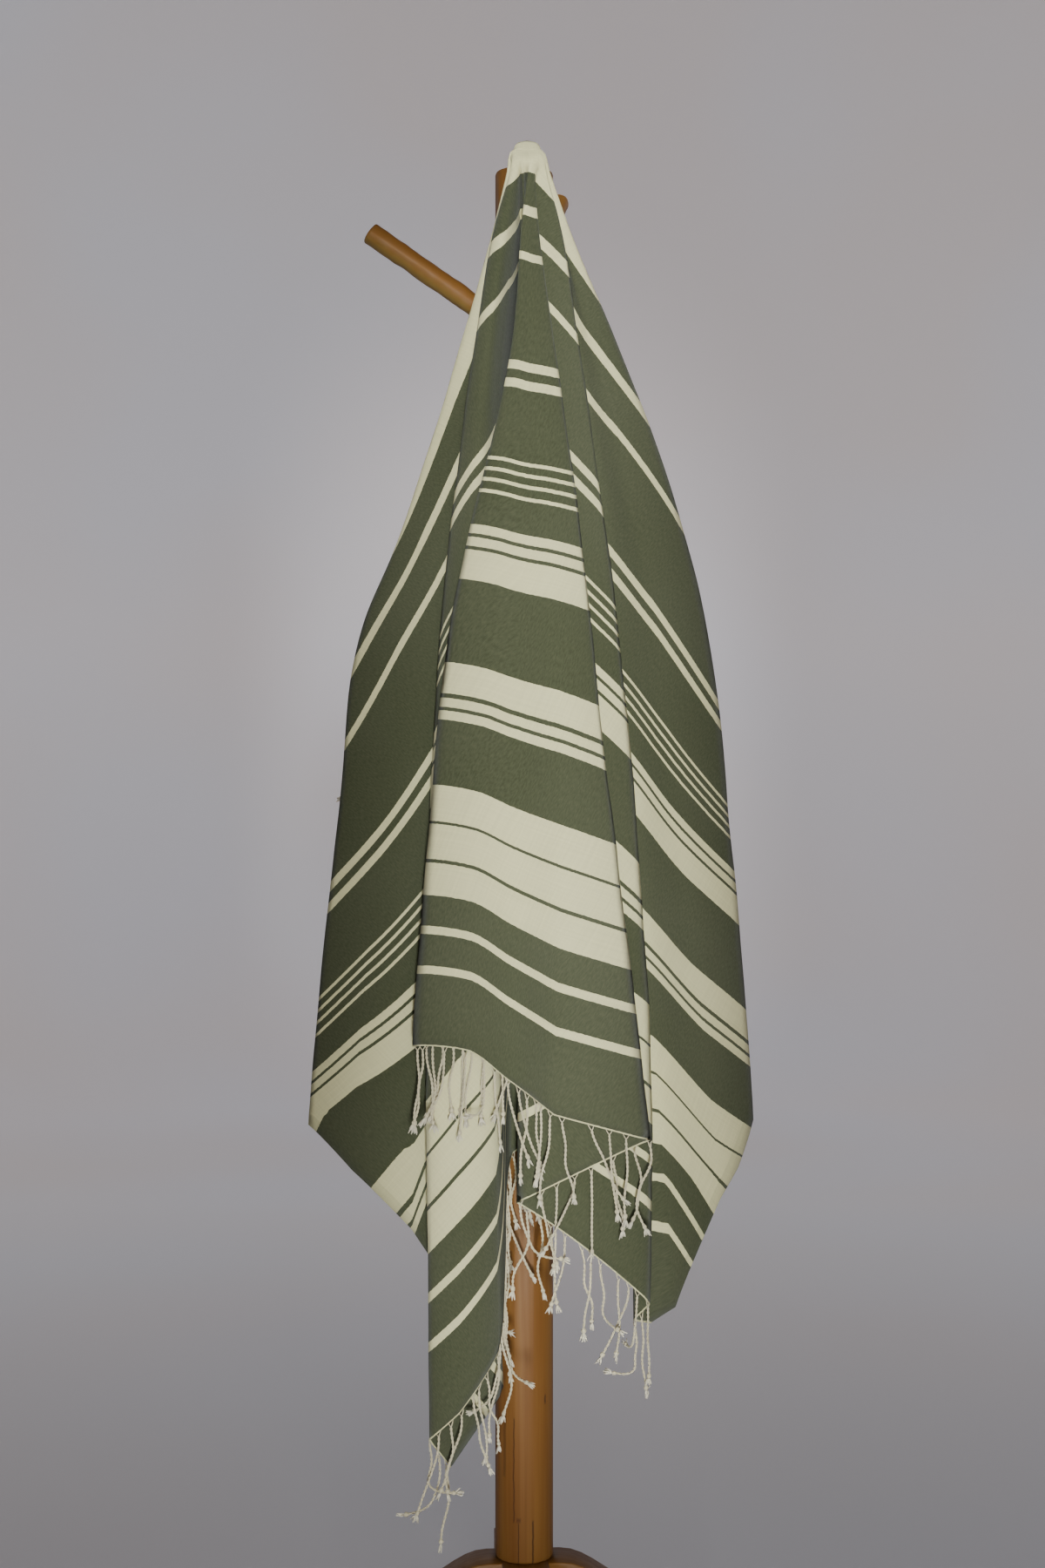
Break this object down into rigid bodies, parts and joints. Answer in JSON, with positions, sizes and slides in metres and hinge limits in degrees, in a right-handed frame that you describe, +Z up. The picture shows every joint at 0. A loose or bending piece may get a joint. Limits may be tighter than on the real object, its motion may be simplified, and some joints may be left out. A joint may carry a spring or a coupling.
{
  "type": "hammam towel on a coat stand",
  "caption": "Flat-woven striped cotton hammam towel with knotted fringe, hung by its middle over a peg of a round-post wooden coat stand with a cross foot.",
  "frame": {"origin": "on the floor under the axis of the post, in the underside of the cross foot", "axes": "+Z up along the post, -Y towards the front peg and the viewer, +X to the viewer's right"},
  "size_m": [0.5159, 0.462, 1.7739],
  "materials": {
    "woven_cotton": "matte flat weave, sage green with cream stripes",
    "cream_yarn": "matte twisted cotton yarn",
    "oiled_wood": "oiled, satin, open grain"
  },
  "bodies": {
    "root": {"towel_cloth": "woven_cotton", "front_fringe": "cream_yarn", "back_fringe": "cream_yarn", "stand_post": "oiled_wood", "front_peg": "oiled_wood", "left_peg": "oiled_wood", "back_peg": "oiled_wood", "foot_through": "oiled_wood", "foot_over": "oiled_wood"}
  },
  "joints": []
}
